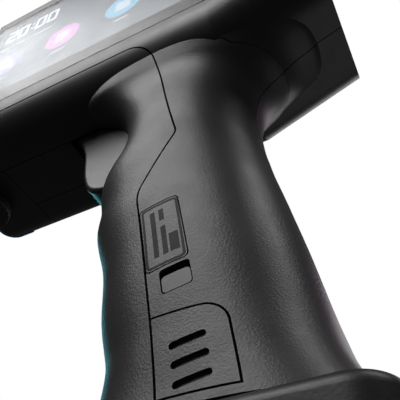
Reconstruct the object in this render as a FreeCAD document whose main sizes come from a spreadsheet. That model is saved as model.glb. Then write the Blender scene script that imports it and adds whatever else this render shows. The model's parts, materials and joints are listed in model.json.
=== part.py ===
import FreeCAD, Part
import math
import os
import Sketcher

# Handheld label printer: a pistol-grip body that marks labels and boxes with an ink cartridge.
# Millimetres, +Z up.  The origin is the centre of the foot's flat underside.  The nose with the print
# window points along -X, the touch screen faces -Y and the cartridge door faces +Y.

Vec = FreeCAD.Vector
X_AXIS = Vec(1, 0, 0)
Y_AXIS = Vec(0, 1, 0)
Z_AXIS = Vec(0, 0, 1)

# ------------------------------------------------------------------------------ driving dimensions

DIMENSIONS = {
    # head: a long box whose underside rises towards the rear
    "head_front": -90.5,
    "head_rear": 45.0,
    "head_half_width": 23.3,
    "head_bottom": 116.0,
    "head_top": 213.5,
    "head_near_round": 15.0,
    "head_far_round": 8.0,
    "head_upper_round": 6.0,
    "nose_round": 9.0,
    "screen_side_round": 2.0,
    "wedge_start": 12.0,
    "wedge_rise": 13.2,
    "wall": 2.2,
    "seam_gap": 0.5,
    "fine_gap": 0.3,
    "belly_half_width": 8.6,
    "nose_joint": -70.8,
    "front_wall": 1.9,
    "tongue_half_width": 11.8,
    "tongue_rear": -73.6,
    "shoulder_seam": 118.2,
    "shoulder_start": 15.9,
    "shoulder_slope": 0.6,
    "grip_reach": 124.5,
    # seam between the front strip and the main shells, seen from the side
    "seam_shelf": 127.5,
    "seam_corner": -8.0,
    "seam_notch_x": 1.6,
    "seam_notch_z": 81.5,
    "seam_waist_x": -7.6,
    "seam_waist_z": 64.0,
    "seam_heel_x": 3.2,
    "seam_top_round": 9.0,
    "seam_notch_round": 3.0,
    "seam_waist_round": 8.0,
    # grip
    "grip_rake": 9.5,
    "grip_axis_foot": 8.7,
    "grip_floor": 12.9,
    # screen
    "glass_left": -86.9,
    "glass_right": 18.1,
    "glass_low": 134.7,
    "glass_high": 202.1,
    "glass_round": 3.5,
    "glass_thick": 1.1,
    "glass_gap": 0.5,
    "display_inset": 1.2,
    "display_thick": 3.0,
    "board_margin": 3.0,
    "board_thick": 1.6,
    "board_depth": 17.5,
    # print end
    "window_half_width": 8.5,
    "window_low": 138.0,
    "window_high": 198.0,
    "plate_thick": 1.2,
    "plate_clear": 0.3,
    "slot_width": 3.2,
    "slot_height": 48.0,
    "face_proud": 3.4,
    "face_half_width": 21.6,
    "face_low": 117.6,
    "face_high": 211.5,
    "face_back": -82.5,
    "face_round": 6.0,
    # guide wheels, above and below the nose
    "wheel_x": -85.5,
    "wheel_radius": 8.9,
    "wheel_thick": 3.2,
    "wheel_edge": 0.6,
    "wheel_gap": 0.5,
    "boss_radius": 11.2,
    "boss_top_radius": 9.2,
    "boss_tall": 1.5,
    "axle_radius": 1.5,
    "axle_clear": 0.06,
    # cartridge, cradle and door
    "cartridge_long": 66.0,
    "cartridge_wide": 27.0,
    "cartridge_tall": 64.0,
    "cartridge_x": -53.2,
    "cartridge_y": 3.5,
    "cartridge_z": 168.0,
    "cartridge_round": 2.0,
    "cradle_wall": 1.6,
    "cradle_clear": 0.5,
    "door_front": -84.0,
    "door_hinge_x": -15.5,
    "door_hinge_inset": 1.8,
    "door_low": 131.0,
    "door_high": 205.0,
    "door_round": 4.0,
    "hinge_pin_radius": 0.9,
    "hinge_clear": 0.06,
    "hinge_pin_over": 3.0,
    # rear plate
    "rear_plate_half": 14.0,
    "rear_plate_low": 142.0,
    "rear_plate_high": 196.0,
    "rear_plate_thick": 1.6,
    "power_radius": 6.0,
    "power_z": 180.0,
    "usb_width": 9.0,
    "usb_height": 3.3,
    "usb_depth": 7.5,
    "usb_wall": 0.4,
    "usb_z": 154.0,
    "lamp_radius": 1.3,
    "lamp_z": 167.0,
    # trigger
    "trigger_half_width": 8.3,
    "trigger_slot_front": -43.8,
    "trigger_pocket_rear": -15.7,
    "trigger_rear": -20.4,
    "trigger_low": 85.5,
    "trigger_top": 121.0,
    "trigger_round": 1.4,
    "pad_half_width": 6.6,
    "pad_thick": 1.1,
    "pad_rib": 0.45,
    "spring_radius": 2.0,
    "spring_front": -24.8,
    "spring_rear": -10.0,
    "spring_z": 102.0,
    # small pieces on the grip
    "window_x": 2.9,
    "window_z": 37.9,
    "window_wide": 6.3,
    "window_tall": 5.8,
    "slider_tall": 4.2,
    "slider_clear": 0.25,
    "badge_x": -0.45,
    "badge_z": 49.9,
    "badge_wide": 8.7,
    "badge_tall": 17.2,
    "badge_round": 0.9,
    "badge_deep": 1.0,
    "latch_top": 30.6,
    "latch_low": 14.4,
    "latch_rear": 12.2,
    "latch_round": 5.0,
    "latch_gap": 0.45,
    "rib_long": 6.7,
    "rib_wide": 1.5,
    "rib_deep": 0.8,
    "rib_pitch": 3.65,
    # battery and foot
    "battery_long": 27.0,
    "battery_wide": 23.0,
    "battery_round": 3.0,
    "battery_top": 80.0,
    "contacts_z": 88.0,
    "foot_centre": 2.6,
    "foot_long": 67.2,
    "foot_wide": 44.0,
    "foot_tall": 12.6,
    "foot_corner": 8.0,
    "foot_edge": 2.5,
    "pad_tall": 1.2,
    "pad_inset": 3.0,
    # screws on the door side
    "screw_radius": 1.5,
    "screw_clear": 0.12,
    "screw_head_radius": 2.6,
    "screw_head_tall": 1.6,
    "head_screw_long": 26.0,
    "grip_screw_long": 14.0,
    "head_post_radius": 3.2,
    "grip_post_radius": 4.0,
    "post_hole_deep": 8.5,
    "screw_socket": 1.1,
}

# Stations of the grip from the foot up: height, foremost x, rearmost x, half width, front squareness,
# rear squareness.  Each becomes one closed curve of the grip's outer skin.
GRIP_STATIONS = [
    (11.5, -20.0, 33.4, 20.7, 3.0, 2.6),
    (14.5, -19.0, 32.2, 20.3, 2.9, 2.5),
    (19.0, -18.0, 29.9, 19.8, 2.8, 2.4),
    (25.0, -17.6, 27.5, 19.5, 2.7, 2.3),
    (33.0, -19.3, 25.9, 19.3, 2.6, 2.2),
    (44.0, -21.2, 24.1, 19.3, 2.6, 2.2),
    (56.0, -23.3, 22.1, 19.4, 2.6, 2.2),
    (68.0, -25.1, 19.9, 19.6, 2.6, 2.2),
    (76.0, -26.0, 18.3, 19.7, 2.6, 2.2),
    (80.5, -25.3, 17.5, 19.8, 2.6, 2.2),
    (84.5, -22.7, 16.9, 19.9, 2.6, 2.2),
    (89.0, -20.4, 16.2, 20.0, 2.6, 2.2),
    (95.0, -19.7, 15.6, 19.9, 2.6, 2.2),
    (101.0, -20.2, 15.4, 19.5, 2.7, 2.2),
    (106.5, -21.8, 16.1, 19.0, 2.9, 2.2),
    (111.0, -25.1, 17.8, 18.8, 3.1, 2.2),
    (114.5, -29.8, 20.7, 19.0, 3.4, 2.2),
    (117.5, -36.2, 24.9, 19.6, 3.7, 2.3),
    (120.5, -36.8, 28.2, 20.3, 3.8, 2.4),
    (123.5, -36.9, 33.5, 21.0, 3.8, 2.6),
    (126.5, -36.9, 37.5, 21.4, 3.8, 2.8),
]

# Profile of the trigger's front, from the flared top down to its rounded toe (x, z).
TRIGGER_FRONT = [
    (-41.2, 115.4),
    (-38.6, 110.6),
    (-36.9, 105.4),
    (-36.0, 99.5),
    (-34.6, 92.6),
    (-32.0, 88.0),
    (-27.6, 85.9),
    (-20.4, 85.5),
]

# Screw centres on the door side (x, z)
HEAD_SCREWS = [(-5.0, 206.0), (37.0, 206.0), (37.0, 138.0), (-5.0, 131.0)]
GRIP_SCREWS = [(7.8, 100.0), (14.8, 72.0), (20.9, 36.0)]

doc = FreeCAD.newDocument("HandheldPrinter")
sheet = doc.addObject("Spreadsheet::Sheet", "Dims")
for row, (alias, value) in enumerate(DIMENSIONS.items(), start=2):
    sheet.set("A%d" % row, alias)
    sheet.set("B%d" % row, str(value))
    sheet.setAlias("B%d" % row, alias)
sheet.set("A1", "dimension")
sheet.set("B1", "millimetres or degrees")
doc.recompute()

SUBPARTS = []


def dim(alias):
    """Value of one cell of the sheet."""
    return float(sheet.get(alias))


# --------------------------------------------------------------------------------------- helpers

def bind(obj, bindings):
    """Bind properties of an object to expressions on the sheet."""
    for prop, expression in bindings.items():
        obj.setExpression(prop, expression)


def bind_centre(obj, centre):
    """Bind an object's position to three expressions."""
    bind(obj, {"Placement.Base.x": centre[0], "Placement.Base.y": centre[1], "Placement.Base.z": centre[2]})


def keep(obj, label):
    """Name an object as one sub-part of the printer."""
    obj.Label = label
    SUBPARTS.append(obj)
    return obj


def shape_part(label, shape):
    """Sub-part whose form is made by solid operations, placed at the printer's origin."""
    obj = doc.addObject("Part::Feature", label)
    obj.Shape = shape
    obj.Placement = FreeCAD.Placement()
    return keep(obj, label)


def new_sketch(body, name, plane):
    """Empty sketch on one of the body's own origin planes."""
    sketch = body.newObject("Sketcher::SketchObject", name)
    origin_plane = [item for item in body.Origin.OriginFeatures if item.Role == plane][0]
    sketch.AttachmentSupport = [(origin_plane, "")]
    sketch.MapMode = "FlatFace"
    return sketch


def add_rectangle(sketch, wide, tall, names=("Wide", "Tall")):
    """Rectangle centred on the sketch's origin; its two sizes are bound to expressions."""
    first = sketch.GeometryCount
    corners = [Vec(-5, -3, 0), Vec(5, -3, 0), Vec(5, 3, 0), Vec(-5, 3, 0)]
    for i in range(4):
        sketch.addGeometry(Part.LineSegment(corners[i], corners[(i + 1) % 4]), False)
    for i in range(4):
        sketch.addConstraint(Sketcher.Constraint("Coincident", first + i, 2, first + (i + 1) % 4, 1))
    for i in (0, 2):
        sketch.addConstraint(Sketcher.Constraint("Horizontal", first + i))
    for i in (1, 3):
        sketch.addConstraint(Sketcher.Constraint("Vertical", first + i))
    sketch.addConstraint(Sketcher.Constraint("Symmetric", first, 1, first + 1, 2, -1, 1))
    sizes = zip(names, (first, first + 1), (10.0, 6.0), (wide, tall))
    for name, edge, start_size, expression in sizes:
        index = sketch.addConstraint(Sketcher.Constraint("Distance", edge, start_size))
        sketch.renameConstraint(index, name)
        sketch.setExpression("Constraints." + name, expression)


def add_circle(sketch, radius, name):
    """Circle centred on the sketch's origin, its radius bound to an expression."""
    index = sketch.addGeometry(Part.Circle(Vec(0, 0, 0), Z_AXIS, 5.0), False)
    sketch.addConstraint(Sketcher.Constraint("Coincident", index, 3, -1, 1))
    size = sketch.addConstraint(Sketcher.Constraint("Radius", index, 5.0))
    sketch.renameConstraint(size, name)
    sketch.setExpression("Constraints." + name, radius)


def symmetric_pad(body, sketch, name, length):
    """Pad that grows equally to both sides of its sketch."""
    pad = body.newObject("PartDesign::Pad", name)
    pad.Profile = sketch
    pad.SideType = "Symmetric"
    pad.setExpression("Length", length)
    doc.recompute()
    return pad


def round_edges(body, base, name, radius, test):
    """Fillet on the edges of a feature that pass a test."""
    edges = ["Edge%d" % (i + 1) for i, edge in enumerate(base.Shape.Edges) if test(edge)]
    fillet = body.newObject("PartDesign::Fillet", name)
    fillet.Base = (base, edges)
    fillet.setExpression("Radius", radius)
    doc.recompute()
    return fillet


def edge_runs_along(axis):
    """Test for straight edges parallel to an axis."""
    def test(edge):
        ends = edge.Vertexes
        if len(ends) != 2:
            return False
        run = ends[1].Point - ends[0].Point
        return run.Length > 1e-6 and abs(abs(run.dot(axis)) - run.Length) < 1e-6
    return test


PLANE_NORMALS = {"XY_Plane": Z_AXIS, "XZ_Plane": Y_AXIS, "YZ_Plane": X_AXIS}


def plate(label, plane, wide, tall, thick, centre, corner=None):
    """Flat rectangular piece, its corners rounded when a radius is given."""
    body = doc.addObject("PartDesign::Body", label)
    sketch = new_sketch(body, label + "_outline", plane)
    add_rectangle(sketch, wide, tall)
    pad = symmetric_pad(body, sketch, label + "_pad", thick)
    if corner:
        round_edges(body, pad, label + "_corners", corner, edge_runs_along(PLANE_NORMALS[plane]))
    bind_centre(body, centre)
    return keep(body, label)


def disc(label, plane, radius, thick, centre, bore=None, edge=None):
    """Round piece on a plane of the body, with a bore and softened edges when they are given."""
    body = doc.addObject("PartDesign::Body", label)
    sketch = new_sketch(body, label + "_outline", plane)
    add_circle(sketch, radius, "Outer")
    if bore:
        add_circle(sketch, bore, "Bore")
    pad = symmetric_pad(body, sketch, label + "_pad", thick)
    if edge:
        outer = max(item.Curve.Radius for item in pad.Shape.Edges if hasattr(item.Curve, "Radius"))
        round_edges(body, pad, label + "_edge", edge,
                    lambda item: hasattr(item.Curve, "Radius") and abs(item.Curve.Radius - outer) < 1e-6)
    bind_centre(body, centre)
    return keep(body, label)


def rod(label, radius, height, base):
    """Plain upright cylinder."""
    cylinder = doc.addObject("Part::Cylinder", label)
    bind(cylinder, {"Radius": radius, "Height": height})
    bind_centre(cylinder, base)
    return keep(cylinder, label)


def box_between(low, high):
    """Box from its lowest to its highest corner."""
    size = Vec(*high) - Vec(*low)
    return Part.makeBox(size.x, size.y, size.z, Vec(*low))


def extruded(points, direction):
    """Closed straight-sided outline pushed along a direction."""
    return Part.Face(Part.makePolygon(points + [points[0]])).extrude(direction)


FAR = 300.0


def half_space(axis, position, sign):
    """Large box that fills one side of a plane across an axis."""
    low = [-FAR, -FAR, -FAR]
    high = [FAR, FAR, FAR]
    if sign > 0:
        low[axis] = position
    else:
        high[axis] = position
    return box_between(low, high)


def rounded_path(points, radii):
    """Open path through points in the XZ plane, with an arc of the given radius at each inner point."""
    edges = []
    start = points[0]
    for i in range(1, len(points) - 1):
        corner = points[i]
        back = (points[i - 1] - corner).normalize()
        ahead = (points[i + 1] - corner).normalize()
        half = back.getAngle(ahead) / 2.0
        reach = radii[i - 1] / math.tan(half)
        enter = corner + back * reach
        leave = corner + ahead * reach
        bisector = (back + ahead).normalize()
        middle = corner + bisector * (radii[i - 1] / math.sin(half) - radii[i - 1])
        edges.append(Part.makeLine(start, enter))
        edges.append(Part.Arc(enter, middle, leave).toShape())
        start = leave
    edges.append(Part.makeLine(start, points[-1]))
    return edges


def raked(x, y, z):
    """Placement that stands a piece along the grip's raked axis."""
    return FreeCAD.Placement(Vec(x, y, z), FreeCAD.Rotation(Y_AXIS, -dim("grip_rake")))


def rounded_prism(wide, tall, corner, depth):
    """Rounded rectangle in the XZ plane, centred on the origin, pushed along Y to both sides."""
    prism = box_between((-wide / 2, -depth, -tall / 2), (wide / 2, depth, tall / 2))
    upright = [edge for edge in prism.Edges if edge_runs_along(Y_AXIS)(edge)]
    return prism.makeFillet(corner, upright)


# ------------------------------------------------------------------------------ outer forms

def head_profile(x, half_width, bottom, top, near_round, far_round, upper_round):
    """Cross-section of the head across X: a rectangle whose lower screen-side corner is the roundest."""
    corners = [
        (-half_width, bottom, near_round),
        (half_width, bottom, far_round),
        (half_width, top, upper_round),
        (-half_width, top, upper_round),
    ]
    edges = []
    count = len(corners)
    for i in range(count):
        y, z, radius = corners[i]
        y_before, z_before, _ = corners[i - 1]
        y_after, z_after, radius_after = corners[(i + 1) % count]
        here = Vec(x, y, z)
        back = (Vec(x, y_before, z_before) - here).normalize()
        ahead = (Vec(x, y_after, z_after) - here).normalize()
        middle = here + (back + ahead) * radius * (1 - math.sqrt(0.5))
        edges.append(Part.Arc(here + back * radius, middle, here + ahead * radius).toShape())
        edges.append(Part.makeLine(here + ahead * radius, Vec(x, y_after, z_after) - ahead * radius_after))
    return Part.Wire(edges)


def head_block(outset):
    """The head's outer form moved outwards by outset, or inwards when it is negative."""
    half_width = dim("head_half_width") + outset
    top = dim("head_top") + outset
    rounds = [dim(name) + outset for name in ("head_near_round", "head_far_round", "head_upper_round")]
    front = dim("head_front") - outset
    rear = dim("head_rear") + outset
    start = dim("wedge_start")
    slope = dim("wedge_rise") / (dim("head_rear") - start)
    bottom = dim("head_bottom") - outset
    rear_bottom = bottom + slope * (rear - start)
    straight = Part.Face(head_profile(front, half_width, bottom, top, *rounds))
    straight = straight.extrude(Vec(start - front, 0, 0))
    wedge = Part.makeLoft([
        head_profile(start, half_width, bottom, top, *rounds),
        head_profile(rear, half_width, rear_bottom, top, *rounds),
    ], True, True)
    block = straight.fuse(wedge).removeSplitter()
    plan = box_between((front, -half_width, 0), (rear, half_width, FAR))
    for y, radius in ((-half_width, dim("screen_side_round")), (half_width, dim("nose_round"))):
        corner = [
            edge for edge in plan.Edges
            if edge_runs_along(Z_AXIS)(edge)
            and abs(edge.Vertexes[0].X - front) < 1e-6
            and abs(edge.Vertexes[0].Y - y) < 1e-6
        ]
        plan = plan.makeFillet(max(radius + outset, 0.4), corner)
    return block.common(plan)


def grip_section(station, outset):
    """One closed smooth curve of the grip: a superellipse, squarer in front than behind."""
    height, front, rear, half_width, front_power, rear_power = station
    front -= outset
    rear += outset
    half_width += outset
    middle = (front + rear) / 2.0
    reach = (rear - front) / 2.0
    count = 32
    points = []
    for i in range(count):
        angle = 2 * math.pi * (i + 2.5) / count
        cosine = math.cos(angle)
        sine = math.sin(angle)
        power = 2.0 / (rear_power if cosine >= 0 else front_power)
        x = middle + math.copysign(reach * abs(cosine) ** power, cosine)
        y = math.copysign(half_width * abs(sine) ** power, sine)
        points.append(Vec(x, y, height))
    curve = Part.BSplineCurve()
    curve.interpolate(points, PeriodicFlag=True)
    return Part.Wire([curve.toShape()])


def station_at(height):
    """Station between two listed ones, in proportion to its height."""
    for low, high in zip(GRIP_STATIONS, GRIP_STATIONS[1:]):
        if low[0] <= height <= high[0]:
            share = (height - low[0]) / (high[0] - low[0])
            return tuple(a + (b - a) * share for a, b in zip(low, high))
    raise ValueError("no station at height %s" % height)


def grip_block(outset, low, high):
    """The grip's outer form between two heights, moved outwards by outset."""
    stations = [station for station in GRIP_STATIONS if low + 0.5 < station[0] < high - 0.5]
    stations = [station_at(low)] + stations + [station_at(high)]
    return Part.makeLoft([grip_section(station, outset) for station in stations], True, False)


def front_region(offset):
    """Everything in front of and below the side seam, grown by offset."""
    path = rounded_path([
        Vec(-FAR, 0, dim("seam_shelf")),
        Vec(dim("seam_corner"), 0, dim("seam_shelf")),
        Vec(dim("seam_notch_x"), 0, dim("seam_notch_z")),
        Vec(dim("seam_waist_x"), 0, dim("seam_waist_z")),
        Vec(dim("seam_heel_x"), 0, 0),
        Vec(dim("seam_heel_x") + 10, 0, -60),
    ], [dim("seam_top_round"), dim("seam_notch_round"), dim("seam_waist_round"), 50.0])
    ends = [path[-1].Vertexes[-1].Point, Vec(-FAR, 0, -60), Vec(-FAR, 0, dim("seam_shelf"))]
    path.append(Part.makeLine(ends[0], ends[1]))
    path.append(Part.makeLine(ends[1], ends[2]))
    face = Part.Face(Part.Wire(path)).makeOffset2D(offset)
    face.translate(Vec(0, -60, 0))
    return face.extrude(Vec(0, 120, 0))


WALL = dim("wall")
GAP = dim("seam_gap") / 2
FINE = dim("fine_gap") / 2

HEAD_OUTER = head_block(0)
HEAD_INNER = head_block(-WALL)
GRIP_LOW = dim("grip_floor")
GRIP_HIGH = dim("grip_reach")
GRIP_OUTER = grip_block(0, GRIP_LOW, GRIP_HIGH)
GRIP_INNER = grip_block(-WALL, GRIP_LOW - 1, GRIP_HIGH + 1)
FRONT = front_region(-GAP)
FRONT_WIDE = front_region(GAP)

# ------------------------------------------------------------------------------ head shells



def below_shoulder(gap):
    """Space of the grip under the head: its upper limit steps down at the shoulder behind it."""
    seam = dim("shoulder_seam") + gap
    start = dim("shoulder_start") + gap
    rise = dim("grip_reach") + 5.0 - seam
    outline = [Vec(-FAR, 0, 0), Vec(-FAR, 0, seam + rise), Vec(start - rise / dim("shoulder_slope"), 0, seam + rise),
               Vec(start, 0, seam), Vec(FAR, 0, seam), Vec(FAR, 0, 0)]
    region = extruded(outline, Vec(0, 2 * FAR, 0))
    region.translate(Vec(0, -FAR, 0))
    return region


shoulder = grip_block(0, dim("shoulder_seam") - 2.0, 126.0).cut(below_shoulder(FINE))
passage = grip_block(-2 * WALL, 112.0, 122.0)
HEAD_SHELL = HEAD_OUTER.fuse(shoulder).cut(HEAD_INNER).cut(passage)


def nose_region(gap):
    """Space of the nose cap: the front wall, the lower and far sides before the joint, and a tongue on top."""
    belly = dim("belly_half_width")
    tongue = dim("tongue_half_width") + gap
    front_wall = box_between((-FAR, -FAR, 0), (dim("head_front") + dim("front_wall") + gap, FAR, FAR))
    lower = box_between((-FAR, -belly - gap, 0), (dim("nose_joint") + gap, FAR, dim("seam_shelf") + gap))
    upper = box_between((-FAR, -tongue, dim("head_top") - 2 * WALL), (dim("tongue_rear") + gap, tongue, FAR))
    return front_wall.fuse(lower).fuse(upper)


def make_head_shells():
    """Split the head's skin into the housings, the lower covers, the belly rail and the nose cap."""
    belly = dim("belly_half_width")
    nose_cut = nose_region(FINE)
    lower = HEAD_SHELL.common(FRONT).cut(nose_cut)
    sides = {}
    covers = {}
    for name, sign in (("left", -1), ("right", 1)):
        half = HEAD_SHELL.common(half_space(1, sign * FINE, sign))
        sides[name] = half.cut(FRONT_WIDE).cut(nose_cut)
        covers[name] = lower.common(half_space(1, sign * (belly + FINE), sign))
    rail = lower.common(box_between((-FAR, -belly + FINE, 0), (dim("trigger_slot_front"), belly - FINE, FAR)))
    return sides, covers, rail


SIDES, COVERS, RAIL = make_head_shells()


def screen_opening():
    """Opening for the touch glass, its gap included."""
    gap = dim("glass_gap")
    wide = dim("glass_right") - dim("glass_left") + 2 * gap
    tall = dim("glass_high") - dim("glass_low") + 2 * gap
    opening = rounded_prism(wide, tall, dim("glass_round") + gap, 6.0)
    opening.translate(Vec((dim("glass_left") + dim("glass_right")) / 2, -dim("head_half_width"),
                          (dim("glass_low") + dim("glass_high")) / 2))
    return opening


def rear_opening(outset):
    """Opening of the rear plate in the end wall."""
    half = dim("rear_plate_half") + outset
    return box_between((dim("head_rear") - 6, -half, dim("rear_plate_low") - outset),
                       (dim("head_rear") + 6, half, dim("rear_plate_high") + outset))


def door_axis():
    """A point on the door's hinge axis, at the door's lower edge."""
    return Vec(dim("door_hinge_x"), dim("head_half_width") - dim("door_hinge_inset"), dim("door_low"))


def door_solid(outset):
    """Door leaf with its round heel at the hinge, grown by outset."""
    low = dim("door_low") - outset
    tall = dim("door_high") + outset - low
    wall = WALL + (4.0 if outset else 0.0)
    outer = dim("head_half_width") + (2.0 if outset else 0.0)
    front = dim("door_front") - outset
    hinge = door_axis()
    leaf = box_between((front, dim("head_half_width") - wall, low), (hinge.x, outer, low + tall))
    corners = [
        edge for edge in leaf.Edges
        if edge_runs_along(Y_AXIS)(edge) and abs(edge.Vertexes[0].X - front) < 1e-6
    ]
    leaf = leaf.makeFillet(dim("door_round") + outset, corners)
    heel = Part.makeCylinder(dim("door_hinge_inset") + outset, tall, Vec(hinge.x, hinge.y, low))
    if outset:
        reach = dim("door_hinge_inset") + outset
        heel = heel.fuse(box_between((hinge.x, hinge.y, low), (hinge.x + reach, outer, low + tall)))
    return leaf.fuse(heel).removeSplitter()


def hinge_ears():
    """Two lugs inside the right housing that hold the ends of the hinge pin."""
    hinge = door_axis()
    reach = dim("hinge_pin_over")
    inner = dim("head_half_width") - WALL / 2
    ears = []
    for low in (dim("door_low") - FINE * 2 - reach, dim("door_high") + FINE * 2):
        ears.append(box_between((hinge.x - 3, hinge.y - 3, low), (hinge.x + 3, inner, low + reach)))
    return ears


def screw_posts(points, radius):
    """Round pillars across both halves, one for each screw."""
    return [Part.makeCylinder(radius, 2 * FAR, Vec(x, -FAR, z), Y_AXIS) for x, z in points]


def screw_holes(points, seats):
    """Counterbored holes for screws that come in from the door side; each seat is the y under the head."""
    clearance = dim("screw_clear")
    tools = []
    for (x, z), seat in zip(points, seats):
        tools.append(Part.makeCylinder(dim("screw_head_radius") + 2 * clearance, FAR, Vec(x, seat, z), Y_AXIS))
        tools.append(Part.makeCylinder(dim("screw_radius") + clearance, FAR,
                                       Vec(x, -dim("post_hole_deep"), z), Y_AXIS))
    return tools


def add_posts(shell, outer, side, points, seats, radius):
    """Half shell on the side (-1 or +1) with its half of the screw pillars fused in and drilled."""
    half = half_space(1, side * FINE, side)
    for post in screw_posts(points, radius):
        shell = shell.fuse(post.common(outer).common(half))
    for tool in screw_holes(points, seats):
        shell = shell.cut(tool)
    return shell.removeSplitter()


def screw_group(points, seats, length):
    """Socket-head screws as separate solids of one group; each seat is the y under the head."""
    screws = []
    for (x, z), seat in zip(points, seats):
        head = Part.makeCylinder(dim("screw_head_radius"), dim("screw_head_tall"), Vec(x, seat, z), Y_AXIS)
        shank = Part.makeCylinder(dim("screw_radius"), length, Vec(x, seat, z), -Y_AXIS)
        socket = Part.makeCylinder(dim("screw_socket"), 1.0,
                                   Vec(x, seat + dim("screw_head_tall") - 0.9, z), Y_AXIS)
        screws.append(head.fuse(shank).cut(socket).removeSplitter())
    return screws


HEAD_SEATS = [dim("head_half_width") - dim("screw_head_tall") - 0.4] * len(HEAD_SCREWS)


def make_housing_left():
    """Screen side of the head."""
    shell = SIDES["left"].cut(screen_opening()).cut(rear_opening(FINE))
    shape_part("housing_left", add_posts(shell, HEAD_OUTER, -1, HEAD_SCREWS, HEAD_SEATS, dim("head_post_radius")))


def make_housing_right():
    """Door side of the head, with the door opening, hinge lugs and screw pillars."""
    shell = SIDES["right"].cut(door_solid(dim("fine_gap"))).cut(rear_opening(FINE))
    for ear in hinge_ears():
        shell = shell.fuse(ear)
    hinge = door_axis()
    pin_hole = Part.makeCylinder(dim("hinge_pin_radius"), FAR, Vec(hinge.x, hinge.y, dim("door_low") - 3.0))
    shell = shell.cut(pin_hole.common(box_between((-FAR, -FAR, 0), (FAR, FAR, dim("door_high") + 3.3))))
    shape_part("housing_right", add_posts(shell, HEAD_OUTER, 1, HEAD_SCREWS, HEAD_SEATS, dim("head_post_radius")))


def wheel_boss(sign):
    """Collar between the head and a guide wheel, with a hollow-curved flank."""
    base = dim("head_bottom") if sign < 0 else dim("head_top")
    wide = dim("boss_radius")
    narrow = dim("boss_top_radius")
    tall = dim("boss_tall")
    profile = [
        Part.makeLine(Vec(0, 0, 0), Vec(wide, 0, 0)),
        Part.Arc(Vec(wide, 0, 0), Vec(narrow + 0.45, 0, tall * 0.42), Vec(narrow, 0, tall)).toShape(),
        Part.makeLine(Vec(narrow, 0, tall), Vec(0, 0, tall)),
        Part.makeLine(Vec(0, 0, tall), Vec(0, 0, 0)),
    ]
    boss = Part.Face(Part.Wire(profile)).revolve(Vec(0, 0, 0), Z_AXIS, 360)
    if sign < 0:
        boss = boss.mirror(Vec(0, 0, 0), Z_AXIS)
    boss.translate(Vec(dim("wheel_x"), 0, base))
    ahead = half_space(0, dim("head_front") - dim("face_proud") + 0.4, 1)
    return boss.common(ahead)


def make_nose():
    """Front cap with the print window, and the two collars that carry the guide wheels."""
    nose = HEAD_SHELL.common(nose_region(-FINE))
    window = box_between((-FAR, -dim("window_half_width"), dim("window_low")),
                         (-80, dim("window_half_width"), dim("window_high")))
    nose = nose.cut(window)
    nose = nose.fuse(wheel_boss(-1)).fuse(wheel_boss(1))
    bore = Part.makeCylinder(dim("axle_radius"), FAR, Vec(dim("wheel_x"), 0, 0))
    nose = nose.cut(bore).removeSplitter()
    shape_part("nose_cap", nose)


def make_print_face():
    """Blue soft frame around the print window; its sides die into the nose."""
    low = (dim("head_front") - dim("face_proud"), -dim("face_half_width"), dim("face_low"))
    high = (dim("face_back"), dim("face_half_width"), dim("face_high"))
    block = box_between(low, high)
    front_edges = [
        edge for edge in block.Edges
        if abs(edge.Vertexes[0].X - low[0]) < 1e-6
        and abs(edge.Vertexes[1].X - low[0]) < 1e-6
        and edge_runs_along(Z_AXIS)(edge)
    ]
    block = block.makeFillet(dim("face_round"), front_edges)
    rim = [
        edge for edge in block.Edges
        if edge.BoundBox.ZLength < 1e-6 and edge.BoundBox.XMax < dim("face_back") - 1.0
    ]
    block = block.makeFillet(1.2, rim)
    frame = block.cut(head_block(FINE * 0.5))
    reach = dim("window_half_width") + 2.0
    frame = frame.cut(box_between((-FAR, -reach, dim("window_low") - 2.0), (-80, reach, dim("window_high") + 2.0)))
    for sign in (-1, 1):
        boss = wheel_boss(sign)
        frame = frame.cut(boss)
    solids = sorted(frame.Solids, key=lambda solid: solid.Volume)
    shape_part("print_face_frame", solids[-1])


def make_nozzle_plate():
    """Metal plate in the print window, with the long slot that the ink passes through."""
    clear = dim("plate_clear")
    half = dim("window_half_width") - clear
    low = dim("window_low") + clear
    high = dim("window_high") - clear
    front = dim("head_front") + 0.4
    blank = box_between((front, -half, low), (front + dim("plate_thick"), half, high))
    blank = blank.makeFillet(1.5, [edge for edge in blank.Edges if edge_runs_along(X_AXIS)(edge)])
    middle = (low + high) / 2
    slot = box_between((front - 1, -dim("slot_width") / 2, middle - dim("slot_height") / 2),
                       (front + 3, dim("slot_width") / 2, middle + dim("slot_height") / 2))
    slot = slot.makeFillet(dim("slot_width") / 2 - 0.05,
                           [edge for edge in slot.Edges if edge_runs_along(X_AXIS)(edge)])
    shape_part("nozzle_plate", blank.cut(slot))


make_housing_left()
make_housing_right()
shape_part("lower_cover_left", COVERS["left"])
shape_part("lower_cover_right", COVERS["right"])
shape_part("belly_rail", RAIL)
make_nose()
make_print_face()
make_nozzle_plate()

# ------------------------------------------------------------------------------ screen

GLASS_CENTRE_X = "(Dims.glass_left + Dims.glass_right) / 2"
GLASS_CENTRE_Z = "(Dims.glass_low + Dims.glass_high) / 2"

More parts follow.
